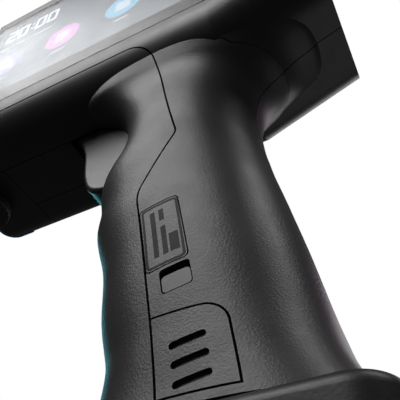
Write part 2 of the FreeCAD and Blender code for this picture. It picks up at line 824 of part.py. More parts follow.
plate("touch_glass", "XZ_Plane",
      "Dims.glass_right - Dims.glass_left",
      "Dims.glass_high - Dims.glass_low",
      "Dims.glass_thick",
      (GLASS_CENTRE_X, "-Dims.head_half_width + Dims.glass_thick / 2", GLASS_CENTRE_Z),
      "Dims.glass_round")
plate("display_module", "XZ_Plane",
      "Dims.glass_right - Dims.glass_left - Dims.display_inset",
      "Dims.glass_high - Dims.glass_low - Dims.display_inset",
      "Dims.display_thick",
      (GLASS_CENTRE_X,
       "-Dims.head_half_width + Dims.glass_thick + Dims.display_thick / 2",
       GLASS_CENTRE_Z),
      "Dims.glass_round - Dims.display_inset / 2")
plate("main_board", "XZ_Plane",
      "Dims.glass_right - Dims.glass_left - Dims.board_margin",
      "Dims.glass_high - Dims.glass_low - Dims.board_margin",
      "Dims.board_thick",
      (GLASS_CENTRE_X, "-Dims.board_depth", GLASS_CENTRE_Z),
      "Dims.glass_round")

# ------------------------------------------------------------------------------ guide wheels


def make_wheels():
    """Two free-running wheels on upright axles, one under the nose and one on top of it."""
    offset = "Dims.boss_tall + Dims.wheel_gap + Dims.wheel_thick / 2"
    levels = {
        "lower": ("Dims.head_bottom - (%s)" % offset,
                  "Dims.head_bottom - Dims.boss_tall - Dims.wheel_gap - Dims.wheel_thick"),
        "upper": ("Dims.head_top + (%s)" % offset, "Dims.head_top - Dims.wall"),
    }
    for name, (middle, axle_base) in levels.items():
        disc(name + "_guide_wheel", "XY_Plane", "Dims.wheel_radius", "Dims.wheel_thick",
             ("Dims.wheel_x", "0", middle), bore="Dims.axle_radius + Dims.axle_clear", edge="Dims.wheel_edge")
        rod(name + "_wheel_axle", "Dims.axle_radius",
            "Dims.wall + Dims.boss_tall + Dims.wheel_gap + Dims.wheel_thick",
            ("Dims.wheel_x", "0", axle_base))


make_wheels()

# ------------------------------------------------------------------------------ cartridge and door

plate("ink_cartridge", "XZ_Plane", "Dims.cartridge_long", "Dims.cartridge_tall", "Dims.cartridge_wide",
      ("Dims.cartridge_x", "Dims.cartridge_y", "Dims.cartridge_z"), "Dims.cartridge_round")


def make_cradle():
    """Open tray that holds the cartridge: floor, ceiling and back wall."""
    clear = dim("cradle_clear")
    wall = dim("cradle_wall")
    half_long = dim("cartridge_long") / 2
    half_tall = dim("cartridge_tall") / 2 + clear
    back = dim("cartridge_y") - dim("cartridge_wide") / 2 - clear
    front = dim("cartridge_y") + dim("cartridge_wide") / 2
    x = dim("cartridge_x")
    z = dim("cartridge_z")
    outer = box_between((x - half_long, back - wall, z - half_tall - wall),
                        (x + half_long, front, z + half_tall + wall))
    inner = box_between((x - half_long - 1, back, z - half_tall), (x + half_long + 1, front + 1, z + half_tall))
    shape_part("cartridge_cradle", outer.cut(inner))


def make_door():
    """Flush door on the far side with a finger scoop, and the pin that it swings on."""
    hinge = door_axis()
    leaf = door_solid(0)
    tall = dim("door_high") - dim("door_low")
    bore = Part.makeCylinder(dim("hinge_pin_radius") + dim("hinge_clear"), tall + 2, hinge - Z_AXIS)
    scoop = Part.makeSphere(9.0, Vec(dim("door_front") + 5.0, dim("head_half_width") + 7.6,
                                     (dim("door_low") + dim("door_high")) / 2))
    shape_part("cartridge_door", leaf.cut(bore).cut(scoop))


make_cradle()
make_door()
rod("door_hinge_pin", "Dims.hinge_pin_radius", "Dims.door_high - Dims.door_low + 2 * Dims.hinge_pin_over",
    ("Dims.door_hinge_x", "Dims.head_half_width - Dims.door_hinge_inset",
     "Dims.door_low - Dims.hinge_pin_over"))

# ------------------------------------------------------------------------------ rear plate


def make_rear_plate():
    """End plate with the holes of the power button, the charging socket and the lamp."""
    body = doc.addObject("PartDesign::Body", "rear_plate")
    outline = new_sketch(body, "rear_plate_outline", "YZ_Plane")
    add_rectangle(outline, "2 * Dims.rear_plate_half", "Dims.rear_plate_high - Dims.rear_plate_low")
    pad = symmetric_pad(body, outline, "rear_plate_pad", "Dims.rear_plate_thick")
    centre = "(Dims.rear_plate_low + Dims.rear_plate_high) / 2"
    holes = (("power_hole", "Dims.power_radius + 0.3", "Dims.power_z"),
             ("lamp_hole", "Dims.lamp_radius", "Dims.lamp_z"))
    for name, radius, height in holes:
        sketch = new_sketch(body, name, "YZ_Plane")
        index = sketch.addGeometry(Part.Circle(Vec(0, 1, 0), Z_AXIS, 2.0), False)
        sketch.addConstraint(Sketcher.Constraint("PointOnObject", index, 3, -2))
        size = sketch.addConstraint(Sketcher.Constraint("Radius", index, 2.0))
        sketch.renameConstraint(size, "Radius")
        sketch.setExpression("Constraints.Radius", radius)
        rise = sketch.addConstraint(Sketcher.Constraint("DistanceY", -1, 1, index, 3, 1.0))
        sketch.renameConstraint(rise, "Rise")
        sketch.setExpression("Constraints.Rise", "%s - %s" % (height, centre))
        cut_through(body, sketch, name + "_cut", pad)
    sketch = new_sketch(body, "usb_hole", "YZ_Plane")
    add_rectangle(sketch, "Dims.usb_width + 0.4", "Dims.usb_height + 0.4")
    sketch.setExpression(".AttachmentOffset.Base.y", "Dims.usb_z - %s" % centre)
    cut_through(body, sketch, "usb_hole_cut", pad)
    bind_centre(body, ("Dims.head_rear - Dims.rear_plate_thick / 2 - 0.3", "0", centre))
    keep(body, "rear_plate")


def cut_through(body, sketch, name, pad):
    """Pocket through all of a plate, checked by the volume that it takes away."""
    pocket = body.newObject("PartDesign::Pocket", name)
    pocket.Profile = sketch
    pocket.SideType = "Symmetric"
    pocket.Length = 20.0
    doc.recompute()
    if body.Shape.Volume > pad.Shape.Volume - 0.5:
        raise ValueError(name + " removed nothing")


def make_power_button():
    """Round button that is pressed into the rear plate."""
    disc("power_button", "YZ_Plane", "Dims.power_radius", "3.0",
         ("Dims.head_rear - 0.9", "0", "Dims.power_z"), edge="0.5")


def make_usb_socket():
    """Metal shell of the charging socket, open to the rear."""
    half_wide = dim("usb_width") / 2
    half_tall = dim("usb_height") / 2
    rear = dim("head_rear") - 0.5
    z = dim("usb_z")
    outer = box_between((rear - dim("usb_depth"), -half_wide, z - half_tall), (rear, half_wide, z + half_tall))
    outer = outer.makeFillet(half_tall * 0.9, [edge for edge in outer.Edges if edge_runs_along(X_AXIS)(edge)])
    wall = dim("usb_wall")
    inner = box_between((rear - dim("usb_depth") + 1, -half_wide + wall, z - half_tall + wall),
                        (rear + 1, half_wide - wall, z + half_tall - wall))
    inner = inner.makeFillet((half_tall - wall) * 0.9,
                             [edge for edge in inner.Edges if edge_runs_along(X_AXIS)(edge)])
    tongue = box_between((rear - dim("usb_depth") + 0.5, -half_wide * 0.68, z - 0.35),
                         (rear - 1.0, half_wide * 0.68, z + 0.35))
    shape_part("usb_socket", outer.cut(inner).fuse(tongue))


make_rear_plate()
make_power_button()
make_usb_socket()
disc("status_lamp", "YZ_Plane", "Dims.lamp_radius", "3.0", ("Dims.head_rear - 1.5", "0", "Dims.lamp_z"))

# ------------------------------------------------------------------------------ grip

def grip_inset(depth):
    """The grip's form pulled in by a depth, a little longer than the grip at both ends."""
    return grip_block(-depth, GRIP_LOW - 0.9, GRIP_HIGH + 0.9)


GRIP_SKIN = GRIP_OUTER.cut(GRIP_INNER)
GRIP_SHELL = GRIP_SKIN.cut(head_block(dim("fine_gap"))).common(below_shoulder(-FINE))


def trigger_pocket():
    """Opening in the front strip that the trigger slides into, with a rounded rear end."""
    half = dim("trigger_half_width") + 0.4
    pocket = box_between((-60, -half, dim("trigger_low") - 0.6), (dim("trigger_pocket_rear"), half, 122))
    rear_edges = [
        edge for edge in pocket.Edges
        if edge_runs_along(Z_AXIS)(edge) and abs(edge.Vertexes[0].X - dim("trigger_pocket_rear")) < 1e-6
    ]
    return pocket.makeFillet(3.0, rear_edges)


def badge_prism(outset):
    """Outline of the badge on the near side of the grip, pushed through the shell."""
    prism = rounded_prism(dim("badge_wide") + 2 * outset, dim("badge_tall") + 2 * outset,
                          dim("badge_round") + outset, 12.0)
    prism.Placement = raked(dim("badge_x"), -dim("head_half_width"), dim("badge_z"))
    return prism


def window_prism(tall, outset, shift, depth=12.0):
    """Outline of the lock slider's window, or of the slider when shifted along the grip."""
    prism = rounded_prism(dim("window_wide") + 2 * outset, tall + 2 * outset, 0.8, depth)
    axis = FreeCAD.Rotation(Y_AXIS, -dim("grip_rake")).multVec(Z_AXIS)
    prism.Placement = raked(dim("window_x") + axis.x * shift, -dim("head_half_width"),
                            dim("window_z") + axis.z * shift)
    return prism


def latch_region(inset):
    """Side outline of the battery latch, behind the seam and above the foot, pulled in by inset."""
    rake = math.tan(math.radians(dim("grip_rake")))
    top = dim("latch_top")
    low = dim("latch_low")
    rear = dim("latch_rear")

    def along(x, z):
        return Vec(x - rake * (z - top), 0, z)

    outline = [along(-40, top), along(rear, top), along(rear, low), along(-40, low)]
    prism = extruded(outline, Vec(0, 60, 0))
    corner = [
        edge for edge in prism.Edges
        if edge_runs_along(Y_AXIS)(edge) and (edge.Vertexes[0].Point - outline[1]).Length < 1e-6
    ]
    prism = prism.makeFillet(dim("latch_round"), corner)
    face = [item for item in prism.Faces if item.BoundBox.YLength < 1e-6][0].makeOffset2D(-inset)
    face.translate(Vec(0, -60 - face.BoundBox.YMin, 0))
    return face.extrude(Vec(0, 55, 0))


def latch_grooves():
    """Finger grooves across the latch, square to the grip's axis."""
    grooves = []
    rotation = FreeCAD.Rotation(Y_AXIS, -dim("grip_rake"))
    axis = rotation.multVec(Z_AXIS)
    for i in range(3):
        groove = rounded_prism(dim("rib_long"), dim("rib_wide"), dim("rib_wide") / 2 - 0.05, 12.0)
        drop = -i * dim("rib_pitch")
        groove.Placement = raked(5.6 + axis.x * drop, -dim("head_half_width"), 24.1 + axis.z * drop)
        grooves.append(groove)
    return grooves


GRIP_SEATS = [13.0, 6.1, 6.4]


def make_grip():
    """Front strip and the two main shells, with everything that is set into them."""
    strip = GRIP_SHELL.common(FRONT).cut(trigger_pocket())
    shape_part("grip_front_strip", strip)
    main = GRIP_SHELL.cut(FRONT_WIDE)
    left = main.common(half_space(1, -FINE, -1))
    right = main.common(half_space(1, FINE, 1))
    left = left.cut(badge_prism(0.3).cut(grip_inset(dim("badge_deep") + 0.1)))
    left = left.cut(window_prism(dim("window_tall"), 0, 0))
    left = left.cut(latch_region(0))
    radius = dim("grip_post_radius")
    shape_part("grip_shell_left", add_posts(left, GRIP_OUTER, -1, GRIP_SCREWS, GRIP_SEATS, radius))
    shape_part("grip_shell_right", add_posts(right, GRIP_OUTER, 1, GRIP_SCREWS, GRIP_SEATS, radius))

    badge = badge_prism(0).common(GRIP_OUTER).cut(grip_inset(dim("badge_deep")))
    shape_part("badge_plate", badge)

    latch = GRIP_SKIN.common(latch_region(dim("latch_gap"))).cut(FRONT_WIDE)
    for groove in latch_grooves():
        latch = latch.cut(groove.cut(grip_inset(dim("rib_deep"))))
    shape_part("battery_latch", latch.common(half_space(1, -5, -1)))

    drop = -(dim("window_tall") - dim("slider_tall")) / 2 + 0.1
    slider = window_prism(dim("slider_tall"), -dim("slider_clear"), drop)
    slider = slider.common(grip_inset(0.15)).cut(grip_inset(WALL + 0.8)).common(half_space(1, 0, -1))
    shape_part("lock_slider", slider)


def trigger_profile(inset):
    """Side outline of the trigger, its front drawn as one smooth curve."""
    points = [Vec(x + inset, 0, z) for x, z in TRIGGER_FRONT]
    curve = Part.BSplineCurve()
    curve.interpolate(points)
    first = points[0]
    last = points[-1]
    corners = [last, Vec(last.x, 0, 112.0), Vec(-30.4, 0, 114.0), Vec(-30.4, 0, first.z), first]
    edges = [curve.toShape()]
    for start, end in zip(corners, corners[1:]):
        edges.append(Part.makeLine(start, end))
    return Part.Face(Part.Wire(edges))


def side_extrusion(face, half):
    """Face in the XZ plane pushed along Y to both sides."""
    face.translate(Vec(0, -half, 0))
    return face.extrude(Vec(0, 2 * half, 0))


def make_trigger():
    """Sliding trigger with its ribbed pad, return spring and switch."""
    half = dim("trigger_half_width")
    body = side_extrusion(trigger_profile(0), half)
    front_edges = [edge for edge in body.Edges if edge.BoundBox.YLength < 1e-6 and edge.BoundBox.ZLength > 25]
    body = body.makeFillet(dim("trigger_round"), [edge for edge in front_edges if edge.BoundBox.XMin < -40])
    stem = box_between((-40.2, 1 - half, 113.5), (-30.6, half - 1, dim("trigger_top")))
    body = body.fuse(stem)
    pad_half = dim("pad_half_width")
    thick = dim("pad_thick")
    seat = side_extrusion(trigger_profile(0), pad_half + 0.2)
    seat = seat.cut(side_extrusion(trigger_profile(thick), pad_half + 0.3))
    front_only = half_space(0, -31.5, -1).common(box_between((-FAR, -FAR, 88.4), (FAR, FAR, 112.5)))
    seat_cut = seat.common(front_only)
    spring_bore = Part.makeCylinder(dim("spring_radius") + 0.5, 8.5,
                                    Vec(dim("trigger_rear") - 8.5, 0, dim("spring_z")), X_AXIS)
    body = body.cut(seat_cut).cut(spring_bore)
    shape_part("trigger_body", body.removeSplitter())

    shave = box_between((-FAR, -pad_half, 88.6), (-31.7, pad_half, 112.3))
    pad = side_extrusion(trigger_profile(-0.1), pad_half)
    pad = pad.cut(side_extrusion(trigger_profile(thick - 0.05), pad_half + 1)).common(shave)
    pitch = 2 * pad_half / 9
    for i in range(8):
        y = -pad_half + (i + 1) * pitch
        groove = side_extrusion(trigger_profile(-0.5), dim("pad_rib") / 2)
        groove = groove.cut(side_extrusion(trigger_profile(0.45), dim("pad_rib")))
        groove.translate(Vec(0, y, 0))
        pad = pad.cut(groove)
    shape_part("trigger_pad", pad)


make_grip()
make_trigger()


def make_spring_and_switch():
    """Return spring, a plain cylinder of the pressed length, and the switch block behind it."""
    length = dim("spring_rear") - dim("spring_front")
    spring = Part.makeCylinder(dim("spring_radius"), length, Vec(dim("spring_front"), 0, dim("spring_z")), X_AXIS)
    core = Part.makeCylinder(dim("spring_radius") - 0.6, length + 2,
                             Vec(dim("spring_front") - 1, 0, dim("spring_z")), X_AXIS)
    shape_part("trigger_spring", spring.cut(core))
    rear = dim("spring_rear")
    z = dim("spring_z")
    block = box_between((rear, -7, z - 8), (rear + 6, 7, z + 8))
    button = box_between((rear - 5.6, -1.5, z + 4), (rear, 1.5, z + 7))
    shape_part("trigger_switch", block.fuse(button).removeSplitter())


make_spring_and_switch()

# ------------------------------------------------------------------------------ battery and foot


def grip_axis_x(z):
    """The x of the grip's raked axis at a height."""
    return dim("grip_axis_foot") - math.tan(math.radians(dim("grip_rake"))) * z


def make_battery():
    """Battery case along the raked axis, standing on the foot, and the contact block above it."""
    low = dim("foot_tall")
    top = dim("battery_top")
    half_long = dim("battery_long") / 2
    half_wide = dim("battery_wide") / 2
    length = top - low
    case = box_between((-half_long, -half_wide, -4), (half_long, half_wide, length))
    case = case.makeFillet(dim("battery_round"), [edge for edge in case.Edges if edge_runs_along(Z_AXIS)(edge)])
    case.Placement = raked(grip_axis_x(low), 0, low)
    case = case.common(half_space(2, low, 1))
    shape_part("battery_case", case)
    z = dim("contacts_z")
    x = grip_axis_x(z)
    contacts = box_between((x - 9, -8, z - 2.5), (x + 11, 8, z + 2.5))
    for y in (-5, 0, 5):
        contacts = contacts.fuse(box_between((x - 1.5, y - 1, z - 4.2), (x + 1.5, y + 1, z - 2)))
    shape_part("battery_contacts", contacts.removeSplitter())


def make_foot():
    """Foot plate with a rounded upper edge, and the rubber sole that it stands on."""
    body = doc.addObject("PartDesign::Body", "base_foot")
    sketch = new_sketch(body, "base_foot_outline", "XY_Plane")
    add_rectangle(sketch, "Dims.foot_long", "Dims.foot_wide")
    pad = symmetric_pad(body, sketch, "base_foot_pad", "Dims.foot_tall - Dims.pad_tall")
    rounded = round_edges(body, pad, "base_foot_corners", "Dims.foot_corner", edge_runs_along(Z_AXIS))
    top = max(vertex.Z for vertex in rounded.Shape.Vertexes)
    round_edges(body, rounded, "base_foot_top_edge", "Dims.foot_edge",
                lambda edge: all(abs(vertex.Z - top) < 1e-6 for vertex in edge.Vertexes))
    bind_centre(body, ("Dims.foot_centre", "0", "(Dims.foot_tall + Dims.pad_tall) / 2"))
    keep(body, "base_foot")
    plate("foot_pad", "XY_Plane", "Dims.foot_long - 2 * Dims.pad_inset", "Dims.foot_wide - 2 * Dims.pad_inset",
          "Dims.pad_tall", ("Dims.foot_centre", "0", "Dims.pad_tall / 2"), "Dims.foot_corner - Dims.pad_inset")


make_battery()
make_foot()

shape_part("head_screws", Part.makeCompound(screw_group(HEAD_SCREWS, HEAD_SEATS, dim("head_screw_long"))))
shape_part("grip_screws", Part.makeCompound(screw_group(GRIP_SCREWS, GRIP_SEATS, dim("grip_screw_long"))))

# ------------------------------------------------------------------------------ check and write

doc.recompute()
for item in doc.Objects:
    if "Invalid" in item.State or "Error" in item.State:
        raise ValueError("%s failed: %s" % (item.Name, item.State))

os.makedirs("parts", exist_ok=True)
for part in SUBPARTS:
    if part.Shape.isNull() or not part.Shape.isValid() or not part.Shape.Solids:
        raise ValueError(part.Label + " has no sound shape")
for part in SUBPARTS:
    part.Shape.exportStep("parts/%s.step" % part.Label)
    box = part.Shape.BoundBox
    print("%-20s %2d solids  x %7.1f %7.1f  y %6.1f %6.1f  z %6.1f %6.1f  volume %9.0f" % (
        part.Label, len(part.Shape.Solids), box.XMin, box.XMax, box.YMin, box.YMax, box.ZMin, box.ZMax,
        part.Shape.Volume))
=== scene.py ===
"""Looks of a handheld printer with a pistol grip: materials, screen, badge, light and camera.

Every length is in metres in the row frame: +Z up, nose towards -X, screen towards -Y, and the
foot stands on z = 0.
"""

import json
import math

import bmesh
import bpy
from mathutils import Matrix, Vector
from mathutils.bvhtree import BVHTree


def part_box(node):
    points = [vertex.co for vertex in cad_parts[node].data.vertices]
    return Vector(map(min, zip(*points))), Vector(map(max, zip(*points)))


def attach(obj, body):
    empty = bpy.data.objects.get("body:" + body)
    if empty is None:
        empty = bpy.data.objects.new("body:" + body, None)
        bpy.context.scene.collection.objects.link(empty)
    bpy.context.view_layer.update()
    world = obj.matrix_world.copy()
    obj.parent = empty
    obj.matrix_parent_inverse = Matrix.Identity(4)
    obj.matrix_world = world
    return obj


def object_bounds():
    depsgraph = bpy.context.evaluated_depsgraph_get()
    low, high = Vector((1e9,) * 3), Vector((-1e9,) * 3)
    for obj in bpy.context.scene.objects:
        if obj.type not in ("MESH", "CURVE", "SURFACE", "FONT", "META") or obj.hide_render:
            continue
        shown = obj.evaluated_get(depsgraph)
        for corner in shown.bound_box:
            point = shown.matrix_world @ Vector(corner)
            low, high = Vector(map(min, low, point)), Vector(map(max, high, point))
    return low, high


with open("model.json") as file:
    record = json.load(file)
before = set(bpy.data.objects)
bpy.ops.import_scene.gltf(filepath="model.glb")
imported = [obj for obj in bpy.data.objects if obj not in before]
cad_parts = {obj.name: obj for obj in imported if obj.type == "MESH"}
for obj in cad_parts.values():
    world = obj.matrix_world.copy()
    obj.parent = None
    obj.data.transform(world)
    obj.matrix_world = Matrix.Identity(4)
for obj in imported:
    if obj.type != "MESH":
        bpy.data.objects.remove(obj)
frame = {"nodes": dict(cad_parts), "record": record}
cad_low, cad_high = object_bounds()
nodes = frame["nodes"]
scene = bpy.context.scene

MM = 0.001
WHITE = (1.0, 1.0, 1.0)

# Sockets of the colour form of Blender's Mix node
MIX_SHARE = 0
MIX_FIRST = 6
MIX_SECOND = 7
MIX_RESULT = 2

# Cosine between the rounded and the true normal: on an open face, and on a sharp edge
OPEN_FACE = 0.995
SHARP_EDGE = 0.86

# Where noise starts and stops to show, on its scale from 0 to 1
NOISE_LOW = 0.3
NOISE_HIGH = 0.7


# ------------------------------------------------------------------------------ node helpers


class Tree:
    """Short calls for one material's node tree."""

    def __init__(self, name):
        self.material = bpy.data.materials.new(name)
        self.material.use_nodes = True
        self.nodes = self.material.node_tree.nodes
        self.links = self.material.node_tree.links
        self.nodes.clear()
        self.output = self.nodes.new("ShaderNodeOutputMaterial")

    def add(self, kind, **settings):
        node = self.nodes.new("ShaderNode" + kind)
        for key, value in settings.items():
            setattr(node, key, value)
        return node

    def put(self, value, socket):
        """Links an output to a socket, or sets the socket to a plain value."""
        if isinstance(value, bpy.types.NodeSocket):
            self.links.new(value, socket)
        else:
            socket.default_value = value

    def math(self, operation, first, second=0.0, clamp=False):
        node = self.add("Math", operation=operation, use_clamp=clamp)
        self.put(first, node.inputs[0])
        self.put(second, node.inputs[1])
        return node.outputs[0]

    def mapped(self, value, low, high, to_low, to_high):
        node = self.add("MapRange")
        for socket, item in zip(node.inputs, (value, low, high, to_low, to_high)):
            self.put(item, socket)
        return node.outputs[0]

    def mix(self, share, first, second):
        node = self.add("Mix", data_type="RGBA")
        self.put(share, node.inputs[MIX_SHARE])
        self.put(first, node.inputs[MIX_FIRST])
        self.put(second, node.inputs[MIX_SECOND])
        return node.outputs[MIX_RESULT]

    def noise(self, vector, size, detail=3.0, roughness=0.55):
        """Noise whose features are about size metres across."""
        node = self.add("TexNoise")
        self.put(vector, node.inputs["Vector"])
        node.inputs["Scale"].default_value = 1.0 / size
        node.inputs["Detail"].default_value = detail
        node.inputs["Roughness"].default_value = roughness
        return node.outputs["Fac"]

    def cells(self, vector, size):
        """Pebbled cells, size metres apart."""
        node = self.add("TexVoronoi", feature="SMOOTH_F1")
        self.put(vector, node.inputs["Vector"])
        node.inputs["Scale"].default_value = 1.0 / size
        return node.outputs["Distance"]

    def bump(self, height, distance, strength):
        node = self.add("Bump")
        node.inputs["Strength"].default_value = strength
        node.inputs["Distance"].default_value = distance
        self.put(height, node.inputs["Height"])
        return node.outputs["Normal"]

    def coordinates(self):
        return self.add("TexCoord").outputs["Object"]

    def edge_mask(self, radius):
        """About 1 along convex and concave edges and 0 on open faces."""
        bevel = self.add("Bevel", samples=4)
        bevel.inputs["Radius"].default_value = radius
        true_normal = self.add("NewGeometry").outputs["Normal"]
        product = self.add("VectorMath", operation="DOT_PRODUCT")
        self.put(bevel.outputs["Normal"], product.inputs[0])
        self.put(true_normal, product.inputs[1])
        return self.mapped(product.outputs["Value"], OPEN_FACE, SHARP_EDGE, 0.0, 1.0)

    def finished(self, shader):
        """Links the shader to the surface and gives back the material."""
        self.put(shader.outputs[0], self.output.inputs["Surface"])
        return self.material


def colour(value, tint=WHITE):
    return tuple(value * part for part in tint) + (1.0,)


def moulded_plastic(name, base, roughness, grain, depth, edge_highlight_strength=0.5, tint=(1.0, 1.0, 1.03),
                    gloss=0.5):
    """Moulded plastic: pebbled grain, cloudy colour, a painted edge highlight and faint handling
    marks.

    Grain is the distance between pebbles and depth is how far they stand out, both in metres.
    """
    cloud_size = 0.022
    rubs_patch_size = 0.006
    speck_size = grain * 0.8
    edge_size = 0.5 * MM
    smoother = 0.035
    rougher = 0.045
    tree = Tree(name)
    place = tree.coordinates()
    cloud = tree.noise(place, cloud_size, detail=4.0)
    speck = tree.noise(place, speck_size, detail=2.0)
    rubs_and_highlight_patches = tree.noise(place, rubs_patch_size, detail=5.0, roughness=0.7)
    shade = tree.mix(cloud, colour(base * 0.82, tint), colour(base * 1.2, tint))
    shade = tree.mix(tree.math("MULTIPLY", speck, 0.35), shade, colour(base * 1.45, tint))
    # Painted edge highlight: convex and concave edges are made lighter in patches, standing in for
    # light caught on them; the same mask also lowers the roughness a little.
    edge = tree.edge_mask(edge_size)
    painted_edge_highlight = tree.math("MULTIPLY", edge, tree.mapped(rubs_and_highlight_patches, 0.35, NOISE_HIGH, 0.15, edge_highlight_strength), clamp=True)
    shade = tree.mix(painted_edge_highlight, shade, colour(base * 2.6 + 0.01, tint))

    shader = tree.add("BsdfPrincipled")
    tree.put(shade, shader.inputs["Base Color"])
    uneven = tree.mapped(rubs_and_highlight_patches, NOISE_LOW, NOISE_HIGH, roughness - smoother, roughness + rougher)
    tree.put(tree.math("SUBTRACT", uneven, tree.math("MULTIPLY", painted_edge_highlight, 0.08)),
             shader.inputs["Roughness"])
    shader.inputs["Specular IOR Level"].default_value = gloss

    pebbles = tree.cells(place, grain)
    height = tree.math("ADD", pebbles, tree.math("MULTIPLY", speck, 0.5))
    tree.put(tree.bump(height, depth, strength=0.8), shader.inputs["Normal"])
    return tree.finished(shader)


def metal(name, base, roughness, stretch, tint=WHITE):
    """Metal with fine drawn lines; stretch squeezes them along one axis, across their length."""
    line_size = 0.4 * MM
    cloud_size = 0.006
    edge_size = 0.3 * MM
    line_depth = 0.01 * MM
    tree = Tree(name)
    mapping = tree.add("Mapping")
    mapping.inputs["Scale"].default_value = stretch
    tree.put(tree.coordinates(), mapping.inputs["Vector"])
    lines = tree.noise(mapping.outputs[0], line_size, detail=4.0)
    cloud = tree.noise(tree.coordinates(), cloud_size)
    shader = tree.add("BsdfPrincipled")
    shader.inputs["Metallic"].default_value = 1.0
    shade = tree.mix(lines, colour(base * 0.8, tint), colour(base * 1.12, tint))
    # Painted edge highlight: the edges are made lighter in the base colour, as if catching the
    # light.
    edge = tree.edge_mask(edge_size)
    tree.put(tree.mix(tree.math("MULTIPLY", edge, 0.5), shade, colour(base * 1.25, tint)),
             shader.inputs["Base Color"])
    tree.put(tree.mapped(cloud, NOISE_LOW, NOISE_HIGH, roughness * 0.85, roughness * 1.2),
             shader.inputs["Roughness"])
    tree.put(tree.bump(lines, line_depth, strength=0.5), shader.inputs["Normal"])
    return tree.finished(shader)


def clear_glass(name):
    """Cover glass with faint smears and a coating that cuts its reflections."""
    smear_size = 0.018
    fine_size = 0.9 * MM
    fine_depth = 0.002 * MM
    edge_size = 0.4 * MM
    clear = (0.95, 0.975, 0.985, 1.0)
    clear_edge = (0.55, 0.72, 0.74, 1.0)
    tree = Tree(name)
    place = tree.coordinates()
    smear = tree.noise(place, smear_size, detail=5.0, roughness=0.65)
    fine = tree.noise(place, fine_size, detail=2.0)
    shader = tree.add("BsdfPrincipled")
    edge = tree.edge_mask(edge_size)
    tree.put(tree.mix(edge, clear, clear_edge), shader.inputs["Base Color"])
    tree.put(tree.mapped(smear, 0.35, NOISE_HIGH, 0.17, 0.26), shader.inputs["Roughness"])
    shader.inputs["Transmission Weight"].default_value = 1.0
    shader.inputs["IOR"].default_value = 1.38
    tree.put(tree.bump(fine, fine_depth, strength=0.3), shader.inputs["Normal"])
    return tree.finished(shader)


def lit_display(name, low, high):
    """Lit panel with corners low and high: a pale picture with pixel rows, and an unlit rim."""
    tree = Tree(name)
    place = tree.coordinates()
    split = tree.add("SeparateXYZ")
    tree.put(place, split.inputs[0])
    side_rim = 1.6 * MM
    foot_rim = 7.8 * MM
    soft = 0.25 * MM
    cloud_size = 0.05
    pixel_rows = 900.0
    row_depth = 0.004 * MM
    unlit = (0.10, 0.10, 0.11, 1.0)
    unlit_pixels = (0.012, 0.013, 0.016, 1.0)
    black = (0.0, 0.0, 0.0, 1.0)
    nose_end = (0.16, 0.20, 0.26, 1.0)
    rear_end = (0.26, 0.27, 0.28, 1.0)
    clouded = (0.28, 0.30, 0.34, 1.0)
    row_tint = (0.34, 0.36, 0.38, 1.0)

    mask = None
    for value, start, end in (
            (split.outputs["X"], low.x + side_rim, low.x + side_rim + soft),
            (split.outputs["X"], high.x - side_rim, high.x - side_rim - soft),
            (split.outputs["Z"], low.z + foot_rim, low.z + foot_rim + soft),
            (split.outputs["Z"], high.z - side_rim, high.z - side_rim - soft)):
        part = tree.mapped(value, start, end, 0.0, 1.0)
        mask = part if mask is None else tree.math("MULTIPLY", mask, part)
    across = tree.mapped(split.outputs["X"], low.x, high.x, 0.0, 1.0)
    cloud = tree.noise(place, cloud_size, detail=1.0)
    rows = tree.add("TexWave", bands_direction="Z")
    tree.put(place, rows.inputs["Vector"])
    rows.inputs["Scale"].default_value = pixel_rows
    picture = tree.mix(across, nose_end, rear_end)
    picture = tree.mix(cloud, picture, clouded)
    picture = tree.mix(tree.math("MULTIPLY", rows.outputs["Fac"], 0.06), picture, row_tint)
    shader = tree.add("BsdfPrincipled")
    tree.put(tree.mix(mask, unlit, unlit_pixels), shader.inputs["Base Color"])
    tree.put(tree.mix(mask, black, picture), shader.inputs["Emission Color"])
    shader.inputs["Emission Strength"].default_value = 0.8
    tree.put(tree.mapped(cloud, NOISE_LOW, NOISE_HIGH, 0.45, 0.6), shader.inputs["Roughness"])
    tree.put(tree.bump(rows.outputs["Fac"], row_depth, strength=0.3), shader.inputs["Normal"])
    return tree.finished(shader)


def lit_symbol(name, shade, light):
    """Lit film, slightly uneven: a symbol on the display, or a lamp's lens."""
    cloud_size = 0.004
    fine_size = 0.3 * MM
    fine_depth = 0.003 * MM
    tree = Tree(name)
    place = tree.coordinates()
    cloud = tree.noise(place, cloud_size, detail=2.0)
    fine = tree.noise(place, fine_size, detail=1.0)
    full = tuple(shade) + (1.0,)
    dim = tuple(part * 0.9 for part in shade) + (1.0,)
    shader = tree.add("BsdfPrincipled")
    picture = tree.mix(cloud, dim, full)
    tree.put(picture, shader.inputs["Base Color"])
    tree.put(picture, shader.inputs["Emission Color"])
    shader.inputs["Emission Strength"].default_value = light
    tree.put(tree.mapped(fine, NOISE_LOW, NOISE_HIGH, 0.5, 0.6), shader.inputs["Roughness"])
    tree.put(tree.bump(fine, fine_depth, strength=0.3), shader.inputs["Normal"])
    return tree.finished(shader)


